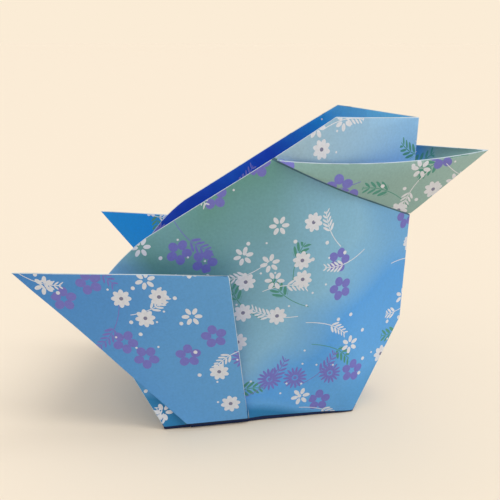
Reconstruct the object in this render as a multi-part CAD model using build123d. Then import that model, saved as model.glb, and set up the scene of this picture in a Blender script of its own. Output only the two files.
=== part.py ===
from build123d import *
from math import atan2, cos, degrees, radians, sin, tan
import os

# Chick-shaped basket folded from one square sheet of printed paper.
# +X is the beak, +Z is up, the median plane is XZ and the base stands on Z = 0. Millimetres.

# Paper: thickness of a folded wall, the layers of the sheet pressed together
PAPER = 0.4

# Base: the floor of the basket, just off the table and bent a little over the wing corners tucked under it
BASE_CREST_Z = 1.3
BASE_FRONT_X = 26.2
BASE_FRONT_Z = 0.5
BASE_REAR_X = -23.0
BASE_REAR_Z = 0.9
BASE_REAR_HALF_WIDTH = 25.8

# Spine: the crease up the breast and the front of the head, where both walls meet
SPINE_FOOT_X = 37.4
SPINE_LEAN = 1.65
FRONT_SPLAY = 41.6
BREAST_Z = 24.7

# Walls: their half width at head height, the inward turn behind it and the soft bend at the front panels
WALL_HALF_WIDTH = 25.6
WALL_TAPER = 5.0
BASE_BEND_RADIUS = 12.0
HEAD_BEND_RADIUS = 52.0

# Head and rim, seen from the side
HEAD_FRONT_Z = 79.2
HEAD_REAR_X = 18.9
HEAD_REAR_Z = 80.7
RIM_SLOPE = 33.0
RIM_BEND_X = -27.0
STERN_X = -41.3
STERN_Z = 34.4
STERN_CURL = 1.1

# Beak: a square corner folded round the head, open on top
BEAK_TIP_X = 57.72
BEAK_TIP_Z = 71.5
BEAK_THROAT_Z = 54.0
BEAK_REAR_X = 5.7
BEAK_REAR_Z = 71.4
BEAK_TIP_WALL = 1.2
BEAK_RIGHT_SAG = 1.9
BEAK_LEFT_SAG = 0.3
BEAK_SPREAD = 1.1

# Wings: flaps that rise from the base edges and point to the rear
WING_FRONT_X = -1.5
WING_HEEL_X = -16.2
WING_FOOT_Z = 0.8
WING_TOP_Z = 44.1
WING_INNER_X = -5.0
WING_INNER_HALF_WIDTH = 27.8
WING_TIP_X = -57.5
WING_TIP_HALF_WIDTH = 32.3
WING_FOLD = 0.7

# Tucks: the wing corners folded under the base, a wide layer and the folded tips below it
TUCK_FRONT_X = 12.0
TUCK_REAR_X = -21.0
TUCK_STEP = 1.5

# Construction lengths that only have to lie outside the finished part, and the number of level wall sections
HEADROOM = 2.0
REAR_ROOM = 20.0
CLEAR = 10.0
BLOCK_TOP = max(HEAD_FRONT_Z, HEAD_REAR_Z) + HEADROOM
BLOCK_REAR_X = STERN_X - REAR_ROOM
SKY_Z = BLOCK_TOP + HEAD_REAR_Z
REACH = WALL_HALF_WIDTH + WING_TIP_HALF_WIDTH
WALL_STEPS = 4


def spine_x(z):
    """Place of the spine crease at a height."""
    return SPINE_FOOT_X + z * tan(radians(SPINE_LEAN))


def splay_width(run):
    """Half width of the flat front panels at a distance behind the spine."""
    return run * tan(radians(FRONT_SPLAY))


BASE_FRONT_HALF_WIDTH = splay_width(SPINE_FOOT_X - BASE_FRONT_X)
BASE_SPLAY = degrees(atan2(BASE_REAR_HALF_WIDTH - BASE_FRONT_HALF_WIDTH, BASE_FRONT_X - BASE_REAR_X))


def base_half_width(x):
    """Half width of the base's straight side edge."""
    return BASE_FRONT_HALF_WIDTH + (BASE_FRONT_X - x) * tan(radians(BASE_SPLAY))


def plan_section(z, inset):
    """Level cut through both walls: flat front panel, soft bend and straight side, mirrored."""
    rise = z / BLOCK_TOP
    half_width = BASE_FRONT_HALF_WIDTH + (WALL_HALF_WIDTH - BASE_FRONT_HALF_WIDTH) * rise
    bend_radius = BASE_BEND_RADIUS + (HEAD_BEND_RADIUS - BASE_BEND_RADIUS) * rise
    side_splay = BASE_SPLAY - (BASE_SPLAY + WALL_TAPER) * rise
    corner_x = spine_x(z) - half_width / tan(radians(FRONT_SPLAY))
    rear_half_width = half_width + (corner_x - BLOCK_REAR_X) * tan(radians(side_splay))
    rear = (BLOCK_REAR_X, rear_half_width)
    side = FilletPolyline((spine_x(z), 0), (corner_x, half_width), rear, radius=bend_radius)
    outline = side + mirror(side, about=Plane.XZ) + Line(rear, (BLOCK_REAR_X, -rear_half_width))
    face = make_face(outline)
    if inset > 0:
        face = offset(face, amount=-inset, kind=Kind.INTERSECTION)
    return Pos(0, 0, z) * face


def wall_block(inset):
    """Solid between the two walls, from the floor to above the head."""
    steps = range(WALL_STEPS + 1)
    return loft([plan_section(BLOCK_TOP * step / WALL_STEPS, inset) for step in steps])


def across(face):
    """Face drawn in the median plane, carried out to both sides."""
    return extrude(Plane.XZ * face, amount=REACH, both=True)


def keel_face(inset):
    """Side view of the basket below its rim: breast facet, base and leaning rear wall."""
    breast_run = (spine_x(BREAST_Z) - BASE_FRONT_X) / (BREAST_Z - BASE_FRONT_Z)
    stern_run = (STERN_X - BASE_REAR_X) / (STERN_Z - BASE_REAR_Z)
    crest_x = (WING_FRONT_X + WING_HEEL_X) / 2
    outline = Polyline(
        (BASE_REAR_X, BASE_REAR_Z),
        (crest_x, BASE_CREST_Z),
        (BASE_FRONT_X, BASE_FRONT_Z),
        (BASE_FRONT_X + breast_run * SKY_Z, BASE_FRONT_Z + SKY_Z),
        (BASE_REAR_X + stern_run * SKY_Z, BASE_REAR_Z + SKY_Z),
        close=True,
    )
    face = make_face(outline)
    if inset > 0:
        face = offset(face, amount=-inset, kind=Kind.INTERSECTION)
    return face


def above_rim_face():
    """Side view of the open space above the head and the cut rim."""
    head_rise = (HEAD_REAR_Z - HEAD_FRONT_Z) / (spine_x(HEAD_FRONT_Z) - HEAD_REAR_X)
    bend_z = HEAD_REAR_Z - (HEAD_REAR_X - RIM_BEND_X) * tan(radians(RIM_SLOPE))
    fall = atan2(bend_z - STERN_Z, RIM_BEND_X - STERN_X)
    curl_x = (RIM_BEND_X + STERN_X) / 2 - STERN_CURL * sin(fall)
    curl_z = (bend_z + STERN_Z) / 2 + STERN_CURL * cos(fall)
    front_x = BEAK_TIP_X + CLEAR
    head = Line((front_x, HEAD_REAR_Z - (front_x - HEAD_REAR_X) * head_rise), (HEAD_REAR_X, HEAD_REAR_Z))
    rim = Line(head @ 1, (RIM_BEND_X, bend_z))
    curl = ThreePointArc(rim @ 1, (curl_x, curl_z), (STERN_X, STERN_Z))
    beyond = Polyline(
        (STERN_X, STERN_Z),
        (BLOCK_REAR_X - CLEAR, STERN_Z),
        (BLOCK_REAR_X - CLEAR, SKY_Z),
        (front_x, SKY_Z),
        head @ 0,
    )
    return make_face(head + rim + curl + beyond)


def basket():
    """Walls, base, breast facet, rear wall and head: one open shell of paper thickness."""
    outside = wall_block(0) & across(keel_face(0))
    inside = wall_block(PAPER) & across(keel_face(PAPER))
    return outside - inside - across(above_rim_face())


def beak():
    """Open trough: conical panels drawn from a slanting fold round the head to the tip."""
    throat = Vector(spine_x(BEAK_THROAT_Z), 0, BEAK_THROAT_Z)
    rear = Vector(BEAK_REAR_X, 0, BEAK_REAR_Z)
    tip = Vector(BEAK_TIP_X, 0, BEAK_TIP_Z)
    fold = Plane(origin=throat, x_dir=(0, 1, 0), z_dir=Vector(0, 1, 0).cross(rear - throat))
    spread = (1, BEAK_SPREAD, 1)
    outer_profile = scale(section(wall_block(0), section_by=fold), by=spread)
    inner_profile = scale(section(wall_block(PAPER), section_by=fold.offset(PAPER)), by=spread)
    inner_tip = tip - Vector(BEAK_TIP_WALL, 0, 0)
    trough = loft([outer_profile, Vertex(*tip)]) - loft([inner_profile, Vertex(*inner_tip)])
    middle = (rear + tip) / 2
    below_edges = Part()
    for sag, reach in ((BEAK_RIGHT_SAG, REACH), (BEAK_LEFT_SAG, -REACH)):
        edge = Spline((rear.X, rear.Z), (middle.X, middle.Z - sag), (tip.X, tip.Z - PAPER / 2))
        under = Polyline(edge @ 1, (tip.X + CLEAR, tip.Z), (tip.X + CLEAR, 0), (rear.X, 0), edge @ 0)
        below_edges += extrude(Plane.XZ * make_face(edge + under), amount=reach)
    return (trough & below_edges) - wall_block(PAPER / 2)


def wing_strip(front, rear):
    """Level cut through a wing flap, between its front and rear edges."""
    half = Vector(0, PAPER / 2, 0)
    return make_face(Polyline(front - half, front + half, rear + half, rear - half, close=True))


def wing():
    """Flap folded up from the base edge, standing off the wall and leaning away from it to the top."""
    foot_front = Vector(WING_FRONT_X, base_half_width(WING_FRONT_X), WING_FOOT_Z)
    foot_rear = Vector(WING_HEEL_X, base_half_width(WING_HEEL_X), WING_FOOT_Z)
    top_front = Vector(WING_INNER_X, WING_INNER_HALF_WIDTH, WING_TOP_Z)
    top_rear = Vector(WING_TIP_X, WING_TIP_HALF_WIDTH, WING_TOP_Z)
    rise = WING_FOLD / (WING_TOP_Z - WING_FOOT_Z)
    stand_off = Vector(0, WING_FOLD, 0)
    fold_front = foot_front + (top_front - foot_front) * rise + stand_off
    fold_rear = foot_rear + (top_rear - foot_rear) * rise + stand_off
    strips = [
        wing_strip(foot_front, foot_rear),
        wing_strip(fold_front, fold_rear),
        wing_strip(top_front, top_rear),
    ]
    return loft(strips, ruled=True)


def tuck_face(inset):
    """Outline of the wing corners under the base, from foot to foot, where they meet in the middle."""
    front_half_width = base_half_width(WING_FRONT_X)
    heel_half_width = base_half_width(WING_HEEL_X)
    outline = Polyline(
        (WING_FRONT_X, front_half_width),
        (WING_HEEL_X, heel_half_width),
        (TUCK_REAR_X, 0),
        (WING_HEEL_X, -heel_half_width),
        (WING_FRONT_X, -front_half_width),
        (TUCK_FRONT_X, 0),
        close=True,
    )
    face = make_face(outline)
    if inset > 0:
        face = offset(face, amount=-inset, kind=Kind.INTERSECTION)
    return face


def tucks():
    """Wide layer between the wing feet and, below it, the smaller one that stands on the table."""
    wide = extrude(Pos(0, 0, WING_FOOT_Z) * tuck_face(0), amount=BASE_CREST_Z)
    narrow = extrude(tuck_face(TUCK_STEP), amount=WING_FOOT_Z + PAPER / 2)
    return wide + narrow - across(keel_face(PAPER / 2))


left_wing = wing()
right_wing = mirror(left_wing, about=Plane.XZ)
folded_sheet = basket() + beak() + tucks() + left_wing + right_wing
folded_sheet.label = "folded_sheet"

os.makedirs("parts", exist_ok=True)
export_step(folded_sheet, "parts/folded_sheet.step")
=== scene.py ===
"""Looks of the folded paper chick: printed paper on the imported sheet, a pale studio and the camera."""

import math

import bmesh
import bpy
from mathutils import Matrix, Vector
from mathutils.bvhtree import BVHTree


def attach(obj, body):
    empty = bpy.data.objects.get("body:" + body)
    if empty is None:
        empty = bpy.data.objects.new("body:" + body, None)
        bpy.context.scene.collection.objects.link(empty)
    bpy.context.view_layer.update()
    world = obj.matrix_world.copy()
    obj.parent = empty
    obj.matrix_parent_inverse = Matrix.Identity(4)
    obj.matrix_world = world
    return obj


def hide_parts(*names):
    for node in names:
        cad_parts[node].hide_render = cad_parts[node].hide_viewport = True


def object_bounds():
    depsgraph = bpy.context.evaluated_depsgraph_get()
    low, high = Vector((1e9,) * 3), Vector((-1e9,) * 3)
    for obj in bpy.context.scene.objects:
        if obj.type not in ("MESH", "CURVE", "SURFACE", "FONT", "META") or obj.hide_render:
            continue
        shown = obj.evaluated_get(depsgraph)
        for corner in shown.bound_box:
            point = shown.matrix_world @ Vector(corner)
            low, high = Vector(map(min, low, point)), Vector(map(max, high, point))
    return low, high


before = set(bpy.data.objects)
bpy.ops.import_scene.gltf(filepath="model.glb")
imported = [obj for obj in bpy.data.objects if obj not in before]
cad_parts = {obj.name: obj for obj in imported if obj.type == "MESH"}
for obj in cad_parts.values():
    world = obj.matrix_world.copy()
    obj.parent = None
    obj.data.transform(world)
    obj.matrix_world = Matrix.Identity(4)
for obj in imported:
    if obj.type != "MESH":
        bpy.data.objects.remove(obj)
CAD_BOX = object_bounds()

bl_info = {
    "name": "Folded paper chick",
    "version": (1, 0, 0),
    "blender": (4, 5, 0),
    "location": "View3D > Sidebar > Paper chick",
    "description": "Prints the folded sheet and sets a pale studio round it",
    "category": "Object",
}

MM = 0.001
SHEET_NODE = "folded_sheet"
PRINT_MAP = "print"


def linear(hex_colour):
    """An sRGB hex value as linear red, green and blue."""
    parts = [int(hex_colour[i:i + 2], 16) / 255 for i in (1, 3, 5)]
    return [c / 12.92 if c <= 0.04045 else ((c + 0.055) / 1.055) ** 2.4 for c in parts]


def colour(name, hex_colour, description):
    """A colour property of a settings group."""
    return bpy.props.FloatVectorProperty(
        name=name, description=description, subtype="COLOR", size=3, min=0, max=1,
        default=linear(hex_colour),
    )


def length(name, millimetres, description):
    """A length property of a settings group, given in millimetres and kept in metres."""
    return bpy.props.FloatProperty(
        name=name, description=description, unit="LENGTH", precision=5, default=millimetres * MM
    )


def point(name, millimetres, description):
    """A place property of a settings group, given in millimetres and kept in metres."""
    return bpy.props.FloatVectorProperty(
        name=name, description=description, subtype="XYZ", unit="LENGTH",
        default=[value * MM for value in millimetres],
    )


def angle(name, degrees, description):
    """An angle property of a settings group, given in degrees and kept in radians."""
    return bpy.props.FloatProperty(
        name=name, description=description, subtype="ANGLE", default=math.radians(degrees)
    )


def number(name, value, description):
    """A plain number property of a settings group."""
    return bpy.props.FloatProperty(name=name, description=description, default=value)


class ChickFolds(bpy.types.PropertyGroup):
    """Sizes of the sheet's folds and of the softness of its paper."""

    spine_foot: length("Spine foot", 37.4, "Where the breast crease would meet the floor, along X")
    spine_lean: angle("Spine lean", 1.65, "Forward lean of the breast crease")
    front_splay: angle("Front splay", 41.6, "Angle of a front panel to the median plane")
    panel_foot: length("Panel depth at the base", 13.1, "Run of a front panel along X at the floor")
    panel_head: length("Panel depth at the head", 28.8, "Run of a front panel along X at the head")
    panel_bend: length("Panel bend", 9.0, "Half the soft bend between a front panel and a side")
    throat: point("Throat", (38.9, 0, 54.0), "Where the beak's fold meets the breast crease")
    cheek: point("Cheek", (5.7, 0, 71.4), "Where the beak's fold meets the rim")
    # Width of the painted shadow strip on the wall just below the beak's fold, at the breast crease and at
    # the rim
    throat_shadow_band: length("Throat gap", 0.35, "Depth of the gap under the beak's fold at the breast crease")
    cheek_shadow_band: length("Cheek gap", 0.8, "Depth of the gap under the beak's fold at the rim")
    wing_front: length("Wing front", -1.5, "Where the wings' front edges rise from the base, along X")
    breast_foot: length("Breast foot", 26.2, "Front end of the base, along X")
    foot_curl: length("Foot curl", 0.5, "How far the foot of the front walls turns under")
    foot_lift: length("Foot lift", 0.35, "How far the foot of the front walls lifts off the table")
    foot_height: length("Foot height", 4.0, "Height over which the foot of the front walls turns under")
    under_step: length("Under step", 0.05, "How far the layers under the base lie behind its edges")
    under_gap: length("Under gap", 0.15, "Height of the lowest layer under the base over the table")
    mesh_step: length("Mesh step", 4.0, "Spacing of the cuts that let the paper bow")
    bow: length("Bow", 0.5, "Height of the soft waves in the paper")
    bow_length: length("Bow length", 34.0, "Size of the soft waves in the paper")
    fold_band: length("Fold band", 0.6, "Half width of the strip along the beak's fold that is not rubbed")
    fold_wear: length("Fold wear", 0.14, "Width of the rubbed, rounded strip along a fold or cut")


class ChickPrint(bpy.types.PropertyGroup):
    """Colours of the print and of the paper."""

    rim_green: colour("Rim green", "#669c98", "Ground of the walls at the rim")
    wall_green: colour("Wall green", "#7baec4", "Ground of the walls below the rim")
    wall_teal: colour("Wall teal", "#86bbdc", "Ground in the middle of the walls")
    wall_sky: colour("Wall sky", "#58a2e8", "Ground of the front panels")
    wall_blue: colour("Wall blue", "#62a8e6", "Ground at the breast and the base")
    # Deeper blue at the foot of the walls, partly print and partly painted shade where the foot turns under
    wall_deep_and_shade: colour("Wall deep", "#2a7fb8", "Ground at the foot of the walls")
    wing_tip: colour("Wing tip", "#4386d0", "Ground of the wing tips")
    wing_blue: colour("Wing blue", "#63a4dd", "Ground of the wings at the body")
    head_pale: colour("Head pale", "#9ebed1", "Ground of the head at the rim")
    head_blue: colour("Head blue", "#8abde9", "Ground of the head at its front")
    beak_sage: colour("Beak sage", "#84a8a4", "Ground of the beak")
    beak_pale: colour("Beak pale", "#9ebfbe", "Ground of the beak's tip")
    inside_royal: colour("Inside royal", "#0645c2", "Ground of the inside in its depth")
    inside_blue: colour("Inside blue", "#0e90e6", "Ground of the inside at the rim")
    inside_sky: colour("Inside sky", "#6cc6f8", "Ground of the inside in the head")
    # Painted shade: the layers folded under the base and the rounded folds at the table are near-black navy,
    # standing for the deep shade in the gap under the walls' foot
    under_navy_painted_shade: colour("Under navy", "#0c2350", "Layers folded under the base")
    # Painted shadow: the strip of wall just below the beak's fold is coloured mid-dark teal to stand for the
    # shade in the narrow gap under the fold
    gap_painted_shadow: colour("Gap shade", "#4c7386", "The sheet's reverse in the narrow gap under the beak's fold")
    white_ink: colour("White ink", "#d9dee9", "Pale blossoms, sprays and dots")
    heart_ink: colour("Heart ink", "#7c7f9c", "Hearts of the pale blossoms")
    violet_ink: colour("Violet ink", "#7576c8", "Violet blossoms and sprays")
    leaf_ink: colour("Leaf ink", "#4f9487", "Green sprays")
    paper_edge: colour("Paper edge", "#cfe0ea", "Rubbed folds and cut edges")


class ChickStudio(bpy.types.PropertyGroup):
    """Floor, light and camera."""

    floor: colour("Floor", "#e4d6c2", "Plain pale floor")
    backdrop: colour("Backdrop", "#fbecd6", "What lies behind the floor's edge")
    floor_span: bpy.props.FloatProperty(
        name="Floor span", description="Width of the floor", unit="LENGTH", default=60.0
    )
    key_from: bpy.props.FloatVectorProperty(
        name="Key side", description="Where the soft lamp shines from", subtype="DIRECTION",
        default=(0.6, 0.0, 0.8),
    )
    key_spread: angle("Key spread", 40, "Apparent width of the soft lamp")
    key_strength: number("Key strength", 1.4, "Brightness of the soft lamp")
    low_light: number("Low light", 0.38, "Brightness of the room at the horizon")
    top_light: number("Top light", 1.2, "Brightness of the room overhead")
    camera_place: point("Camera place", (20.8, -183.91, 97.62), "Where the camera stands")
    camera_yaw: angle("Camera yaw", -7.57, "Turn of the view from +Y towards +X")
    camera_pitch: angle("Camera pitch", 16.59, "Downward tilt of the view")
    sensor: bpy.props.FloatProperty(
        name="Sensor", description="Width of the camera's frame", unit="CAMERA", default=36.0
    )
    lens: bpy.props.FloatProperty(name="Lens", description="Focal length", unit="CAMERA", default=50.4)


def add_node(tree, kind, inputs, **settings):
    """Adds a node, sets it and fills or links its inputs, where a node stands for its first output."""
    node = tree.nodes.new(kind)
    for name, value in settings.items():
        setattr(node, name, value)
    for key, value in inputs.items():
        if isinstance(value, bpy.types.Node):
            value = value.outputs[0]
        if isinstance(value, bpy.types.NodeSocket):
            tree.links.new(value, node.inputs[key])
        else:
            node.inputs[key].default_value = value
    return node


def new_group(name, inputs, outputs):
    """A shader group with named sockets: its tree, input node and output node."""
    tree = bpy.data.node_groups.new(name, "ShaderNodeTree")
    for direction, sockets in (("INPUT", inputs), ("OUTPUT", outputs)):
        for socket, kind in sockets.items():
            tree.interface.new_socket(socket, in_out=direction, socket_type="NodeSocket" + kind)
    return tree, tree.nodes.new("NodeGroupInput").outputs, tree.nodes.new("NodeGroupOutput").inputs


# How far the places stray from an even net, and the size in millimetres of the drifts they gather in
SCATTER = 0.5
DRIFT = 24.0
# How far off, in millimetres, the noise is read for the drifts of violet, the values between which it acts
# and how far it moves the violet share
VIOLET_SHIFT = (0, 500, 0)
VIOLET_FROM = 0.35
VIOLET_TO = 0.65
VIOLET_SWING = 0.5


def scatter_group():
    """Places for motifs, lengths in millimetres.

    Gives the coordinates round the nearest place, turned at random, a random number to pick a motif by,
    and whether the place is printed at all and in violet. Printed and violet places lie in drifts.
    """
    tree, given, made = new_group(
        "scatter",
        {"Place": "Vector", "Shift": "Vector", "Spacing": "Float", "Bare": "Float", "Violet": "Float"},
        {"Local": "Vector", "Pick": "Float", "Shown": "Float", "Violet": "Float"},
    )
    shifted = add_node(
        tree, "ShaderNodeVectorMath", {0: given["Place"], 1: given["Shift"]}, operation="ADD"
    )
    scale = add_node(tree, "ShaderNodeMath", {0: 1.0, 1: given["Spacing"]}, operation="DIVIDE")
    cells = add_node(
        tree, "ShaderNodeTexVoronoi",
        {"Vector": shifted, "Scale": scale, "Randomness": SCATTER},
        voronoi_dimensions="2D",
    )
    local = add_node(
        tree, "ShaderNodeVectorMath", {0: shifted, 1: cells.outputs["Position"]}, operation="SUBTRACT"
    )
    spot = add_node(
        tree, "ShaderNodeVectorMath", {0: cells.outputs["Position"], 1: given["Shift"]},
        operation="SUBTRACT",
    )
    dice = add_node(tree, "ShaderNodeSeparateColor", {0: cells.outputs["Color"]})
    turn = add_node(tree, "ShaderNodeMath", {0: dice.outputs[0], 1: math.tau}, operation="MULTIPLY")
    turned = add_node(
        tree, "ShaderNodeVectorRotate", {"Vector": local, "Angle": turn}, rotation_type="Z_AXIS"
    )
    drift = add_node(
        tree, "ShaderNodeTexNoise", {"Vector": spot, "Scale": 1 / DRIFT, "Detail": 0.0},
        noise_dimensions="2D",
    )
    shown = add_node(tree, "ShaderNodeMath", {0: drift, 1: given["Bare"]}, operation="GREATER_THAN")
    aside = add_node(tree, "ShaderNodeVectorMath", {0: spot, 1: VIOLET_SHIFT}, operation="ADD")
    tint = add_node(
        tree, "ShaderNodeTexNoise", {"Vector": aside, "Scale": 1 / DRIFT, "Detail": 0.0},
        noise_dimensions="2D",
    )
    share = add_node(
        tree, "ShaderNodeMapRange",
        {
            "Value": tint, "From Min": VIOLET_FROM, "From Max": VIOLET_TO,
            "To Min": -VIOLET_SWING, "To Max": VIOLET_SWING,
        },
    )
    odds = add_node(tree, "ShaderNodeMath", {0: share, 1: given["Violet"]}, operation="ADD")
    violet = add_node(tree, "ShaderNodeMath", {0: dice.outputs[1], 1: odds}, operation="LESS_THAN")
    tree.links.new(turned.outputs[0], made["Local"])
    tree.links.new(dice.outputs[2], made["Pick"])
    tree.links.new(shown.outputs[0], made["Shown"])
    tree.links.new(violet.outputs[0], made["Violet"])
    return tree


# Radius of a blossom's heart in millimetres
HEART_RADIUS = 0.5


def blossom_group():
    """Round flower: petals are ellipses set evenly round a small heart. Lengths in millimetres."""
    tree, given, made = new_group(
        "blossom",
        {
            "Local": "Vector", "Petals": "Float", "Reach": "Float",
            "Petal length": "Float", "Petal width": "Float",
        },
        {"Petals": "Float", "Heart": "Float"},
    )
    axes = add_node(tree, "ShaderNodeSeparateXYZ", {0: given["Local"]})
    radius = add_node(tree, "ShaderNodeVectorMath", {0: given["Local"]}, operation="LENGTH")
    bearing = add_node(
        tree, "ShaderNodeMath", {0: axes.outputs[1], 1: axes.outputs[0]}, operation="ARCTAN2"
    )
    half_sector = add_node(tree, "ShaderNodeMath", {0: math.pi, 1: given["Petals"]}, operation="DIVIDE")
    other_half = add_node(tree, "ShaderNodeMath", {0: half_sector, 1: -1.0}, operation="MULTIPLY")
    sector = add_node(
        tree, "ShaderNodeMath", {0: bearing, 1: half_sector, 2: other_half}, operation="WRAP"
    )
    along = add_node(tree, "ShaderNodeMath", {0: sector}, operation="COSINE")
    across = add_node(tree, "ShaderNodeMath", {0: sector}, operation="SINE")
    run = add_node(tree, "ShaderNodeMath", {0: along, 1: radius.outputs[1]}, operation="MULTIPLY")
    off = add_node(tree, "ShaderNodeMath", {0: across, 1: radius.outputs[1]}, operation="MULTIPLY")
    past = add_node(tree, "ShaderNodeMath", {0: run, 1: given["Reach"]}, operation="SUBTRACT")
    long_share = add_node(tree, "ShaderNodeMath", {0: past, 1: given["Petal length"]}, operation="DIVIDE")
    wide_share = add_node(tree, "ShaderNodeMath", {0: off, 1: given["Petal width"]}, operation="DIVIDE")
    petal = add_node(tree, "ShaderNodeCombineXYZ", {0: long_share, 1: wide_share})
    edge = add_node(tree, "ShaderNodeVectorMath", {0: petal}, operation="LENGTH")
    inside = add_node(tree, "ShaderNodeMath", {0: edge.outputs[1], 1: 1.0}, operation="LESS_THAN")
    heart = add_node(tree, "ShaderNodeMath", {0: radius.outputs[1], 1: HEART_RADIUS}, operation="LESS_THAN")
    tree.links.new(inside.outputs[0], made["Petals"])
    tree.links.new(heart.outputs[0], made["Heart"])
    return tree


# Spacing, half length and half width of a spray's leaves, as shares of the leaf's size
LEAF_PITCH = 1.25
LEAF_HALF_LENGTH = 0.85
LEAF_HALF_WIDTH = 0.5
# Size of the leaves at the foot and the tip of a spray, as shares of the leaf's size
FOOT_LEAF = 1.1
TIP_LEAF = 0.55
# Half width of a spray's stem in millimetres
STEM_HALF_WIDTH = 0.11
# How far a spray's leaves lie ahead and its bare tail reaches back, as shares of its half length
SPRAY_AHEAD = 1.0
STEM_TAIL = 3.2


def spray_group():
    """Leaf spray: slanting leaf pairs on a thin bent stem with a long bare tail. Lengths in millimetres."""
    tree, given, made = new_group(
        "spray", {"Local": "Vector", "Half length": "Float", "Leaf": "Float", "Bend": "Float"},
        {"Leaves": "Float", "Stem": "Float"},
    )
    axes = add_node(tree, "ShaderNodeSeparateXYZ", {0: given["Local"]})
    ahead = add_node(
        tree, "ShaderNodeMath", {0: given["Half length"], 1: SPRAY_AHEAD}, operation="MULTIPLY"
    )
    along = add_node(tree, "ShaderNodeMath", {0: axes.outputs[0], 1: ahead}, operation="SUBTRACT")
    square = add_node(tree, "ShaderNodeMath", {0: along, 1: along}, operation="MULTIPLY")
    bend = add_node(tree, "ShaderNodeMath", {0: square, 1: given["Bend"]}, operation="MULTIPLY")
    bent = add_node(tree, "ShaderNodeMath", {0: axes.outputs[1], 1: bend}, operation="SUBTRACT")
    off = add_node(tree, "ShaderNodeMath", {0: bent}, operation="ABSOLUTE")
    pitch = add_node(tree, "ShaderNodeMath", {0: given["Leaf"], 1: LEAF_PITCH}, operation="MULTIPLY")
    half_pitch = add_node(tree, "ShaderNodeMath", {0: pitch, 1: 0.5}, operation="MULTIPLY")
    other_half = add_node(tree, "ShaderNodeMath", {0: pitch, 1: -0.5}, operation="MULTIPLY")
    slant = add_node(tree, "ShaderNodeMath", {0: along, 1: off}, operation="SUBTRACT")
    repeat = add_node(tree, "ShaderNodeMath", {0: slant, 1: half_pitch, 2: other_half}, operation="WRAP")
    low_end = add_node(tree, "ShaderNodeMath", {0: given["Half length"], 1: -1.0}, operation="MULTIPLY")
    taper = add_node(
        tree, "ShaderNodeMapRange",
        {"Value": along, 1: low_end, 2: given["Half length"], "To Min": FOOT_LEAF, "To Max": TIP_LEAF},
    )
    leaf = add_node(tree, "ShaderNodeMath", {0: given["Leaf"], 1: taper}, operation="MULTIPLY")
    out = add_node(tree, "ShaderNodeMath", {0: off, 1: leaf}, operation="SUBTRACT")
    long_half = add_node(tree, "ShaderNodeMath", {0: leaf, 1: LEAF_HALF_LENGTH}, operation="MULTIPLY")
    wide_half = add_node(tree, "ShaderNodeMath", {0: leaf, 1: LEAF_HALF_WIDTH}, operation="MULTIPLY")
    long_share = add_node(tree, "ShaderNodeMath", {0: out, 1: long_half}, operation="DIVIDE")
    wide_share = add_node(tree, "ShaderNodeMath", {0: repeat, 1: wide_half}, operation="DIVIDE")
    shape = add_node(tree, "ShaderNodeCombineXYZ", {0: long_share, 1: wide_share})
    edge = add_node(tree, "ShaderNodeVectorMath", {0: shape}, operation="LENGTH")
    inside = add_node(tree, "ShaderNodeMath", {0: edge.outputs[1], 1: 1.0}, operation="LESS_THAN")
    span = add_node(tree, "ShaderNodeMath", {0: slant}, operation="ABSOLUTE")
    within = add_node(tree, "ShaderNodeMath", {0: span, 1: given["Half length"]}, operation="LESS_THAN")
    leaves = add_node(tree, "ShaderNodeMath", {0: inside, 1: within}, operation="MULTIPLY")
    thin = add_node(tree, "ShaderNodeMath", {0: off, 1: STEM_HALF_WIDTH}, operation="LESS_THAN")
    tail = add_node(tree, "ShaderNodeMath", {0: given["Half length"], 1: -STEM_TAIL}, operation="MULTIPLY")
    from_tail = add_node(tree, "ShaderNodeMath", {0: along, 1: tail}, operation="GREATER_THAN")
    to_tip = add_node(tree, "ShaderNodeMath", {0: along, 1: given["Half length"]}, operation="LESS_THAN")
    reach = add_node(tree, "ShaderNodeMath", {0: from_tail, 1: to_tip}, operation="MULTIPLY")
    stem = add_node(tree, "ShaderNodeMath", {0: thin, 1: reach}, operation="MULTIPLY")
    tree.links.new(leaves.outputs[0], made["Leaves"])
    tree.links.new(stem.outputs[0], made["Stem"])
    return tree


def dot_group():
    """Plain round dot. Lengths in millimetres."""
    tree, given, made = new_group("dot", {"Local": "Vector", "Radius": "Float"}, {"Dot": "Float"})
    radius = add_node(tree, "ShaderNodeVectorMath", {0: given["Local"]}, operation="LENGTH")
    inside = add_node(
        tree, "ShaderNodeMath", {0: radius.outputs[1], 1: given["Radius"]}, operation="LESS_THAN"
    )
    tree.links.new(inside.outputs[0], made["Dot"])
    return tree


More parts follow.
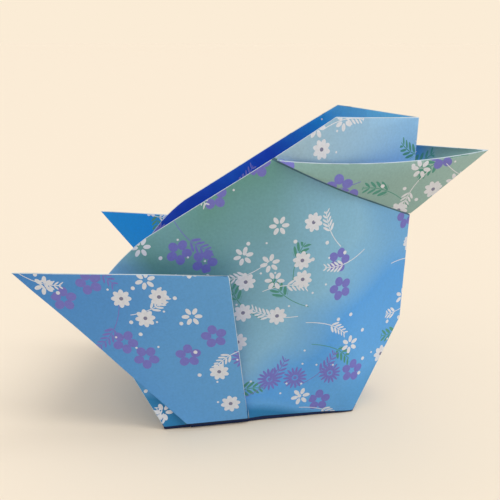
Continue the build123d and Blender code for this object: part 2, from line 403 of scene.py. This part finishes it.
def print_group(inks):
    """The whole print over a ground colour: sprays, blossoms and dots in drifts. Lengths in millimetres."""
    tree, given, made = new_group(
        "floral_print",
        {"Place": "Vector", "Ground": "Color", "Bare": "Float", "Violet": "Float", "Leaf bare": "Float"},
        {"Color": "Color"},
    )
    scatter = scatter_group()
    blossom = blossom_group()
    spray = spray_group()
    dot = dot_group()
    # Each layer's shift and spacing in millimetres, its bare threshold and its violet share
    leaves, sprays, blossoms, dots = (
        add_node(
            tree, "ShaderNodeGroup",
            {
                "Place": given["Place"], "Shift": shift, "Spacing": spacing,
                "Bare": given[bare], "Violet": violet,
            },
            node_tree=scatter,
        ).outputs
        for shift, spacing, bare, violet in (
            ((31, 7, 0), 12.5, "Leaf bare", 0.0),
            ((83, 41, 0), 13.0, "Bare", given["Violet"]),
            ((3, 29, 0), 8.2, "Bare", given["Violet"]),
            ((19, 47, 0), 4.4, "Bare", -1.0),
        )
    )
    # Where it lies, whether it is a violet one, which picks print it, its form, its sizes and its inks
    layers = [
        (leaves, 0, (0.0, 1.0), spray, {"Half length": 4.2, "Leaf": 1.25, "Bend": 0.04},
         {"Stem": inks.leaf_ink, "Leaves": inks.leaf_ink}),
        (sprays, 1, (0.0, 1.0), spray, {"Half length": 3.8, "Leaf": 1.15, "Bend": -0.035},
         {"Stem": inks.violet_ink, "Leaves": inks.violet_ink}),
        (blossoms, 1, (0.0, 0.55), blossom,
         {"Petals": 5, "Reach": 2.0, "Petal length": 1.3, "Petal width": 1.15},
         {"Petals": inks.violet_ink}),
        (blossoms, 1, (0.55, 0.85), blossom,
         {"Petals": 15, "Reach": 2.0, "Petal length": 1.25, "Petal width": 0.34},
         {"Petals": inks.violet_ink, "Heart": inks.violet_ink}),
        (sprays, 0, (0.0, 0.8), spray, {"Half length": 2.9, "Leaf": 0.95, "Bend": 0.035},
         {"Stem": inks.white_ink, "Leaves": inks.white_ink}),
        (blossoms, 0, (0.0, 0.45), blossom,
         {"Petals": 8, "Reach": 1.35, "Petal length": 1.15, "Petal width": 0.67},
         {"Petals": inks.white_ink, "Heart": inks.heart_ink}),
        (blossoms, 0, (0.45, 0.8), blossom,
         {"Petals": 6, "Reach": 1.6, "Petal length": 0.95, "Petal width": 0.54},
         {"Petals": inks.white_ink}),
        (dots, 0, (0.0, 0.25), dot, {"Radius": 0.28}, {"Dot": inks.white_ink}),
        (dots, 0, (0.25, 0.42), dot, {"Radius": 0.5}, {"Dot": inks.white_ink}),
    ]
    below = given["Ground"]
    for field, violet, (first, last), motif, sizes, colours in layers:
        drawn = add_node(tree, "ShaderNodeGroup", {"Local": field["Local"]} | sizes, node_tree=motif)
        picked = add_node(
            tree, "ShaderNodeMath", {0: field["Pick"], 1: (first + last) / 2, 2: (last - first) / 2},
            operation="COMPARE",
        )
        tinted = add_node(
            tree, "ShaderNodeMath", {0: field["Violet"], 1: violet, 2: 0.5}, operation="COMPARE"
        )
        chosen = add_node(tree, "ShaderNodeMath", {0: picked, 1: tinted}, operation="MULTIPLY")
        printed = add_node(tree, "ShaderNodeMath", {0: chosen, 1: field["Shown"]}, operation="MULTIPLY")
        for part, ink in colours.items():
            cover = add_node(
                tree, "ShaderNodeMath", {0: drawn.outputs[part], 1: printed}, operation="MULTIPLY"
            )
            over = add_node(tree, "ShaderNodeMix", {0: cover, 6: below, 7: (*ink, 1)}, data_type="RGBA")
            below = over.outputs[2]
    tree.links.new(below, made["Color"])
    return tree


# Soft clouds in the ground colour: their size in millimetres and how far they reach along the ramp
CLOUD = 28.0
CLOUDING = 0.24
# Paper fibres in millimetres, drawn coarser than real ones so that they show
FIBRE = 0.6
FIBRE_HEIGHT = 0.05
FIBRE_RELIEF = 0.15
# How much ink the fibres hold or lose, and the least and the greatest roughness they give
INK_GRAIN = 0.12
SMOOTHEST = 0.5
ROUGHEST = 0.7


def printed_paper(name, floral, ramp, slopes, amounts):
    """Printed origami paper: thin and uncoated, so matt with a faint sheen, fine fibres and uneven ink.

    The ground runs softly through the ramp's colours, at each place as far as its furthest slope reaches.
    The slopes run over the object's X and Z in millimetres.
    """
    material = bpy.data.materials.new(name)
    material.use_nodes = True
    tree = material.node_tree
    shader = tree.nodes["Principled BSDF"]
    where = add_node(tree, "ShaderNodeTexCoord", {}).outputs["Object"]
    flat = add_node(tree, "ShaderNodeUVMap", {}, uv_map=PRINT_MAP)
    furthest = 0.0
    for start, along_x, along_z in slopes:
        run = add_node(
            tree, "ShaderNodeVectorMath", {0: where, 1: (along_x / MM, 0, along_z / MM)},
            operation="DOT_PRODUCT",
        )
        reached = add_node(tree, "ShaderNodeMath", {0: run.outputs[1], 1: start}, operation="ADD")
        furthest = add_node(tree, "ShaderNodeMath", {0: reached, 1: furthest}, operation="MAXIMUM")
    cloud = add_node(
        tree, "ShaderNodeTexNoise", {"Vector": where, "Scale": 1 / (CLOUD * MM), "Detail": 1.0}
    )
    drift = add_node(
        tree, "ShaderNodeMapRange", {"Value": cloud, "To Min": -CLOUDING, "To Max": CLOUDING}
    )
    share = add_node(tree, "ShaderNodeMath", {0: furthest, 1: drift}, operation="ADD")
    ground = add_node(tree, "ShaderNodeValToRGB", {0: share})
    stops = ground.color_ramp.elements
    for index, stop in enumerate(ramp):
        element = stops[index] if index < len(stops) else stops.new(1.0)
        element.position = index / (len(ramp) - 1)
        element.color = (*stop, 1)
    bare, violet, leaf_bare = amounts
    inked = add_node(
        tree, "ShaderNodeGroup",
        {"Place": flat, "Ground": ground, "Bare": bare, "Violet": violet, "Leaf bare": leaf_bare},
        node_tree=floral,
    )
    fibres = add_node(
        tree, "ShaderNodeTexNoise", {"Vector": where, "Scale": 1 / (FIBRE * MM), "Detail": 3.0}
    )
    grain = add_node(
        tree, "ShaderNodeMapRange", {"Value": fibres, "To Min": 1 - INK_GRAIN, "To Max": 1 + INK_GRAIN}
    )
    uneven = add_node(tree, "ShaderNodeVectorMath", {0: inked, 3: grain}, operation="SCALE")
    rough = add_node(tree, "ShaderNodeMapRange", {"Value": fibres, "To Min": SMOOTHEST, "To Max": ROUGHEST})
    relief = add_node(
        tree, "ShaderNodeBump", {"Height": fibres, "Strength": FIBRE_RELIEF, "Distance": FIBRE_HEIGHT * MM}
    )
    tree.links.new(uneven.outputs[0], shader.inputs["Base Color"])
    tree.links.new(rough.outputs[0], shader.inputs["Roughness"])
    tree.links.new(relief.outputs[0], shader.inputs["Normal"])
    shader.inputs["IOR"].default_value = 1.45
    shader.inputs["Specular IOR Level"].default_value = 0.3
    return material


# Size in millimetres of the rubbed patches along an edge, and how dark the least rubbed ones are
RUB = 3.0
LEAST_RUBBED = 0.7


def bare_edge(name, tint):
    """Cut or rubbed paper: the ink is gone and the pale core shows."""
    material = bpy.data.materials.new(name)
    material.use_nodes = True
    tree = material.node_tree
    shader = tree.nodes["Principled BSDF"]
    where = add_node(tree, "ShaderNodeTexCoord", {})
    rub = add_node(tree, "ShaderNodeTexNoise", {"Vector": where.outputs["Object"], "Scale": 1 / (RUB * MM)})
    worn = add_node(
        tree, "ShaderNodeMix",
        {0: rub, 6: (*(LEAST_RUBBED * Vector(tint)), 1), 7: (*tint, 1)},
        data_type="RGBA",
    )
    tree.links.new(worn.outputs[2], shader.inputs["Base Color"])
    shader.inputs["Roughness"].default_value = 0.8
    return material


def wall_run(place, folds):
    """Distance along a wall's surface from the breast crease, flat front panel and bend included."""
    spine = folds.spine_foot + place.z * math.tan(folds.spine_lean)
    depth = spine - place.x
    rise = place.z / CAD_BOX[1].z
    corner = folds.panel_foot + (folds.panel_head - folds.panel_foot) * rise
    past = (depth - corner + math.hypot(depth - corner, folds.panel_bend)) / 2
    slant = 1 / math.cos(folds.front_splay)
    return slant * depth - (slant - 1) * past


def fold_planes(folds):
    """The plane of the beak's fold and the one that ends the painted shadow strip under it, each as a point
    and a normal.
    """
    fold = folds.cheek - folds.throat
    normal = Vector((fold.z, 0, -fold.x)).normalized()
    shadow_throat = folds.throat - normal * folds.throat_shadow_band
    shadow_line = folds.cheek - normal * folds.cheek_shadow_band - shadow_throat
    return (folds.throat, normal), (shadow_throat, Vector((shadow_line.z, 0, -shadow_line.x)).normalized())


def over_plane(place, plane):
    """Distance of a point from a plane, on the side its normal points to."""
    return (place - plane[0]).dot(plane[1])


# Largest bend within a panel and smallest at a fold
PANEL_BEND = math.radians(14)
FOLD_BEND = math.radians(24)
# Step in millimetres on the flat print from one panel's piece of it to the next
PRINT_PIECE = Vector((137.0, 59.0))
# Points nearer to each other than this are one
MERGE = 0.002 * MM
# Heights of the cuts that let the foot of the walls turn under, as shares of its height
FOOT_CUTS = (0.3, 0.45, 0.6, 0.8, 1.0)
# How fast the turned foot grows from the wing forward and from the breast back, over a foot's height
WING_GROWTH = 3.0
BREAST_GROWTH = 0.5
# Upward part of a normal below which a face is an underside
UNDERSIDE = -0.9


class CHICK_OT_folded_sheet(bpy.types.Operator):
    """Makes the folded sheet from a copy of its solid: soft paper, rubbed folds, print on every panel"""

    bl_idname = "chick.folded_sheet"
    bl_label = "Folded sheet"

    # Material, a point before the panel in millimetres, the way from there to the panel,
    # the turn of its print in degrees and the piece of the flat print that it shows
    PANELS = [
        ("wall", (10, -90, 50), (0, 1, 0), 0, 0),
        ("wall", (10, 90, 50), (0, -1, 0), 0, 1),
        ("inside", (0, 0, 40), (0, -1, 0), 0, 2),
        ("inside", (0, 0, 40), (0, 1, 0), 0, 3),
        ("wing", (-25, -90, 35), (0, 1, 0), 40, 4),
        ("wing", (-25, 90, 35), (0, -1, 0), -40, 5),
        ("wing_back", (-50, 0, 42), (0, -1, 0), 40, 6),
        ("wing_back", (-50, 0, 42), (0, 1, 0), -40, 7),
        ("beak", (48, -90, 66), (0, 1, 0), 60, 8),
        ("beak", (48, 90, 66), (0, -1, 0), -60, 9),
        ("beak_back", (46, 0, 68), (0, -1, 0), 60, 10),
        ("beak_back", (46, 0, 68), (0, 1, 0), -60, 11),
        ("wall", (90, 0, 12), (-1, 0, 0), 0, 12),
        ("inside", (0, 0, 12), (1, 0, 0), 0, 13),
        ("wing", (-90, 0, 17), (1, 0, 0), 0, 14),
        ("inside", (0, 0, 17), (-1, 0, 0), 0, 15),
        ("inside", (0, 0, 12), (0, 0, -1), 0, 16),
    ]

    def execute(self, context):
        folds = context.scene.chick_folds
        inks = context.scene.chick_print
        piece = self.copy_of_solid(context)
        materials = self.make_materials(inks)
        for material in materials.values():
            piece.data.materials.append(material)
        slots = {name: index for index, name in enumerate(materials)}
        self.cut_mesh(folds)
        self.print_panels(piece, folds, slots)
        self.curl_foot(piece, folds)
        self.fill_under(piece, folds)
        self.soften(piece, folds, slots)
        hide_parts(SHEET_NODE)
        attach(piece, "root")
        return {"FINISHED"}

    def copy_of_solid(self, context):
        """A merged copy of the sheet's solid, in edit mode."""
        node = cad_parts[SHEET_NODE]
        bpy.ops.object.select_all(action="DESELECT")
        piece = bpy.data.objects.new("printed_sheet", node.data.copy())
        piece.data.name = "printed_sheet"
        piece.data.materials.clear()
        context.scene.collection.objects.link(piece)
        piece.select_set(True)
        context.view_layer.objects.active = piece
        bpy.ops.object.mode_set(mode="EDIT")
        bpy.ops.mesh.select_mode(type="FACE")
        bpy.ops.mesh.select_all(action="SELECT")
        bpy.ops.mesh.remove_doubles(threshold=MERGE)
        bpy.ops.mesh.customdata_custom_splitnormals_clear()
        return piece

    def make_materials(self, inks):
        """The paper's materials by panel kind."""
        floral = print_group(inks)
        walls = [
            inks.rim_green, inks.wall_green, inks.wall_teal, inks.wall_sky, inks.wall_blue, inks.wall_deep_and_shade,
        ]
        insides = [inks.inside_royal, inks.inside_blue, inks.inside_sky]
        # The third slope brings in the deep blue towards the foot of the walls, partly print and partly
        # painted shade
        wall_slopes = [(0.55, 0.0106, -0.0075), (0.16, -0.036, -0.024), (1.2, -0.02, -0.08)]
        # Ramp colours, the slopes' starts and rises per millimetre along X and Z,
        # the bare threshold, the violet share and the bare threshold of the leaves, where 1 prints nothing
        papers = {
            "wall": (walls, wall_slopes, (0.385, 0.3, 0.5)),
            "head": ([inks.head_pale, inks.head_blue], [(-0.4, 0.036, 0.0)], (0.44, -0.2, 0.5)),
            "beak": ([inks.beak_sage, inks.beak_pale], [(-0.5, 0.025, 0.0)], (0.4, 0.4, 0.5)),
            "beak_back": ([inks.inside_blue, inks.beak_sage], [(-4.5, 0.12, 0.0)], (0.44, 0.3, 0.5)),
            "wing": ([inks.wing_tip, inks.wing_blue], [(1.1, 0.018, 0.0)], (0.385, 0.35, 1.0)),
            "wing_back": ([inks.inside_blue, inks.wing_tip], [(-0.5, 0.0, 0.01)], (0.55, 0.5, 0.55)),
            # Painted shade: near-black navy for the layers under the base, never printed
            "under": ([inks.under_navy_painted_shade, inks.under_navy_painted_shade], [], (1.0, 0.0, 1.0)),
            # Painted shadow for the strip of wall below the beak's fold, never printed
            "gap": ([inks.gap_painted_shadow, inks.gap_painted_shadow], [], (1.0, 0.0, 1.0)),
            "inside": (insides, [(-1.2, 0.022, 0.0185)], (0.46, 0.6, 0.5)),
        }
        edge = bare_edge("cut_origami_paper", inks.paper_edge)
        return {"edge": edge} | {
            kind: printed_paper("origami_paper_" + kind, floral, *looks) for kind, looks in papers.items()
        }

    def cut_mesh(self, folds):
        """Even cuts across the sheet, so that its panels can bow, and two along the beak's fold."""
        low, high = CAD_BOX
        planes = list(fold_planes(folds))
        for axis in (0, 2):
            normal = Vector((0, 0, 0))
            normal[axis] = 1
            for step in range(1, math.ceil((high[axis] - low[axis]) / folds.mesh_step)):
                planes.append((low + normal * step * folds.mesh_step, normal))
        up = Vector((0, 0, 1))
        planes += [(up * folds.foot_height * share, up) for share in FOOT_CUTS]
        for place, normal in planes:
            bpy.ops.mesh.select_all(action="SELECT")
            bpy.ops.mesh.bisect(plane_co=place, plane_no=normal)
        bpy.ops.mesh.select_all(action="SELECT")
        bpy.ops.mesh.remove_doubles(threshold=MERGE)

    def print_panels(self, piece, folds, slots):
        """Gives each panel, grown from one of its faces up to the folds, its material and its flat map.

        What no panel takes is a cut edge or, near the table, a layer folded under the base in painted-shade
        navy.
        """
        mesh = bmesh.from_edit_mesh(piece.data)
        flat = mesh.loops.layers.uv.new(PRINT_MAP)
        fold, gap = fold_planes(folds)
        for face in mesh.faces:
            # Faces near the table that no panel takes get the navy under colour, painted shade; the rest are
            # cut edges
            is_low = face.calc_center_median().z <= folds.foot_height
            face.material_index = slots["under" if is_low else "edge"]
            for loop in face.loops:
                loop[flat].uv = loop.vert.co.xy / MM
        for kind, start, way, turn, cut in self.PANELS:
            bpy.ops.mesh.select_all(action="DESELECT")
            mesh = bmesh.from_edit_mesh(piece.data)
            index = BVHTree.FromBMesh(mesh).ray_cast(Vector(start) * MM, Vector(way))[2]
            if index is None:
                raise RuntimeError(f"no {kind} panel ahead of {start}")
            mesh.faces.ensure_lookup_table()
            mesh.faces[index].select_set(True)
            bmesh.update_edit_mesh(piece.data)
            bpy.ops.mesh.faces_select_linked_flat(sharpness=PANEL_BEND)
            mesh = bmesh.from_edit_mesh(piece.data)
            flat = mesh.loops.layers.uv.get(PRINT_MAP)
            for face in [face for face in mesh.faces if face.select]:
                middle = face.calc_center_median()
                look = kind
                if kind == "wall" and over_plane(middle, fold) > 0:
                    look = "head"
                # Wall faces between the beak's fold and the plane just below it take the painted shadow
                # colour
                elif kind == "wall" and over_plane(middle, gap) > 0:
                    look = "gap"
                face.material_index = slots[look]
                for loop in face.loops:
                    loop[flat].uv = self.flat_place(loop.vert.co, way, turn, folds) + PRINT_PIECE * cut
            bmesh.update_edit_mesh(piece.data)

    def flat_place(self, place, way, turn, folds):
        """Where a point of a panel lies on the flat print, in millimetres.

        Walls are rolled out, wings and beak are seen from the side, the rest from its front or from above.
        """
        if way[1] and not turn:
            flat = Vector((wall_run(place, folds), place.z))
        elif way[1]:
            flat = Vector((place.x, place.z))
        else:
            flat = Vector((place.y, place.z - place.x * abs(way[2])))
        swing = math.radians(turn)
        across = flat.x * math.cos(swing) - flat.y * math.sin(swing)
        up = flat.x * math.sin(swing) + flat.y * math.cos(swing)
        return Vector((across, up)) / MM

    def curl_foot(self, piece, folds):
        """Turns the foot of the front walls softly up and under, like a fold not pressed flat."""
        mesh = bmesh.from_edit_mesh(piece.data)
        for vertex in mesh.verts:
            place = vertex.co
            low = max(0.0, 1 - place.z / folds.foot_height)
            ahead = (place.x - folds.wing_front) / folds.foot_height
            behind = (folds.breast_foot - place.x) / folds.foot_height
            share = min(max(min(WING_GROWTH * ahead, BREAST_GROWTH * behind), 0.0), 1.0) * low ** 2
            place.y -= math.copysign(min(folds.foot_curl * share, abs(place.y)), place.y)
            place.z += folds.foot_lift * share
        bmesh.update_edit_mesh(piece.data)

    def fill_under(self, piece, folds):
        """Lets the layers under the base hang down to the table, just behind the base's edges."""
        mesh = bmesh.from_edit_mesh(piece.data)
        under = [
            face for face in mesh.faces
            if face.normal.z < UNDERSIDE
            and folds.under_gap < face.calc_center_median().z < folds.foot_height
        ]
        bmesh.ops.inset_region(
            mesh, faces=under, thickness=folds.under_step, use_boundary=True, use_even_offset=True
        )
        # The hanging layers keep the near-black navy under colour, painted shade in the gap under the walls'
        # foot
        for vertex in {vertex for face in under for vertex in face.verts}:
            vertex.co.z = folds.under_gap
        bmesh.update_edit_mesh(piece.data)

    def soften(self, piece, folds, slots):
        """Soft waves in the paper, then rounded folds, rubbed except along the beak's fold and at the table,
        where they take the painted-shade navy.

        Nothing is left below the table.
        """
        bpy.ops.object.mode_set(mode="OBJECT")
        waves = bpy.data.textures.new("paper_waves", "CLOUDS")
        waves.noise_scale = folds.bow_length
        waves.noise_depth = 0
        bow = piece.modifiers.new("bow", "DISPLACE")
        bow.texture = waves
        bow.texture_coords = "LOCAL"
        bow.direction = "Y"
        # The waves run half to each side
        bow.strength = 2 * folds.bow
        rounding = piece.modifiers.new("folds", "BEVEL")
        rounding.width = folds.fold_wear
        rounding.segments = 2
        rounding.limit_method = "ANGLE"
        rounding.angle_limit = FOLD_BEND
        rounding.use_clamp_overlap = False
        rounding.material = slots["edge"]
        for modifier in ("bow", "folds"):
            bpy.ops.object.modifier_apply(modifier=modifier)
        for vertex in piece.data.vertices:
            vertex.co.z = max(vertex.co.z, CAD_BOX[0].z)
        fold = fold_planes(folds)[0]
        for face in piece.data.polygons:
            if face.material_index != slots["edge"]:
                continue
            # Rounded folds near the table take the navy under colour instead of the rubbed edge, painted
            # shade at the foot
            if face.center.z < folds.foot_height / 2:
                face.material_index = slots["under"]
            elif abs(over_plane(face.center, fold)) < folds.fold_band:
                face.material_index = slots["beak"]
        bpy.ops.object.shade_smooth_by_angle(angle=FOLD_BEND)


# Upward part of a direction up to which the room keeps its low light
LOW_REACH = 0.1
# Nearest distance that the camera sees
CLIP_START = 10 * MM


class CHICK_OT_studio(bpy.types.Operator):
    """Makes the pale floor and backdrop, the soft light and the camera"""

    bl_idname = "chick.studio"
    bl_label = "Studio"

    def execute(self, context):
        studio = context.scene.chick_studio
        self.make_floor(context, studio)
        self.make_lamps(context, studio)
        self.make_camera(context, studio)
        context.scene.view_settings.view_transform = "Standard"
        return {"FINISHED"}

    def make_floor(self, context, studio):
        """A wide plain floor."""
        bpy.ops.object.select_all(action="DESELECT")
        bpy.ops.mesh.primitive_plane_add(size=studio.floor_span, location=(0, 0, 0))
        floor = context.active_object
        floor.name = "floor"
        material = bpy.data.materials.new("studio_paper")
        material.use_nodes = True
        shader = material.node_tree.nodes["Principled BSDF"]
        shader.inputs["Base Color"].default_value = (*studio.floor, 1)
        shader.inputs["Roughness"].default_value = 0.9
        shader.inputs["Specular IOR Level"].default_value = 0.1
        floor.data.materials.append(material)

    def make_lamps(self, context, studio):
        """A wide soft lamp from the right and a room lit from overhead, seen as a plain backdrop."""
        bpy.ops.object.light_add(type="SUN")
        lamp = context.active_object
        lamp.name = "softbox"
        lamp.data.angle = studio.key_spread
        lamp.data.energy = studio.key_strength
        lamp.rotation_euler = Vector(studio.key_from).to_track_quat("Z", "Y").to_euler()
        world = bpy.data.worlds.new("studio_world")
        world.use_nodes = True
        context.scene.world = world
        tree = world.node_tree
        light = tree.nodes["Background"]
        light.inputs["Color"].default_value = (1, 1, 1, 1)
        way = add_node(tree, "ShaderNodeTexCoord", {})
        rise = add_node(tree, "ShaderNodeSeparateXYZ", {0: way.outputs["Generated"]})
        overhead = add_node(
            tree, "ShaderNodeMapRange",
            {
                "Value": rise.outputs[2], "From Min": LOW_REACH,
                "To Min": studio.low_light, "To Max": studio.top_light,
            },
        )
        tree.links.new(overhead.outputs[0], light.inputs["Strength"])
        seen = add_node(tree, "ShaderNodeBackground", {"Color": (*studio.backdrop, 1), "Strength": 1.0})
        path = add_node(tree, "ShaderNodeLightPath", {})
        mirrored = add_node(
            tree, "ShaderNodeMath",
            {0: path.outputs["Is Glossy Ray"], 1: path.outputs["Is Transmission Ray"]},
            operation="MAXIMUM",
        )
        shown = add_node(
            tree, "ShaderNodeMath", {0: path.outputs["Is Camera Ray"], 1: mirrored}, operation="MAXIMUM"
        )
        either = add_node(tree, "ShaderNodeMixShader", {0: shown, 1: light, 2: seen})
        tree.links.new(either.outputs[0], tree.nodes["World Output"].inputs["Surface"])

    def make_camera(self, context, studio):
        """The camera at the photograph's place and angle."""
        bpy.ops.object.camera_add(location=studio.camera_place)
        camera = context.active_object
        ahead = Vector((
            math.sin(studio.camera_yaw) * math.cos(studio.camera_pitch),
            math.cos(studio.camera_yaw) * math.cos(studio.camera_pitch),
            -math.sin(studio.camera_pitch),
        ))
        camera.rotation_euler = ahead.to_track_quat("-Z", "Y").to_euler()
        camera.data.sensor_width = studio.sensor
        camera.data.lens = studio.lens
        camera.data.clip_start = CLIP_START
        context.scene.camera = camera


class CHICK_PT_panel(bpy.types.Panel):
    """Lists the steps and their settings"""

    bl_label = "Folded paper chick"
    bl_idname = "CHICK_PT_panel"
    bl_space_type = "VIEW_3D"
    bl_region_type = "UI"
    bl_category = "Paper chick"

    def draw(self, context):
        for step in STEPS:
            self.layout.operator(step.bl_idname)
        for name, group in SETTINGS.items():
            box = self.layout.box()
            for setting in group.__annotations__:
                box.prop(getattr(context.scene, name), setting)


SETTINGS = {"chick_folds": ChickFolds, "chick_print": ChickPrint, "chick_studio": ChickStudio}
STEPS = [CHICK_OT_folded_sheet, CHICK_OT_studio]
CLASSES = [*SETTINGS.values(), *STEPS, CHICK_PT_panel]


def register():
    for kind in CLASSES:
        bpy.utils.register_class(kind)
    for name, group in SETTINGS.items():
        setattr(bpy.types.Scene, name, bpy.props.PointerProperty(type=group))


def unregister():
    for name in SETTINGS:
        delattr(bpy.types.Scene, name)
    for kind in reversed(CLASSES):
        bpy.utils.unregister_class(kind)


def main():
    """Makes the pieces in order."""
    register()
    bpy.ops.chick.folded_sheet()
    bpy.ops.chick.studio()


if __name__ == "__main__":
    main()
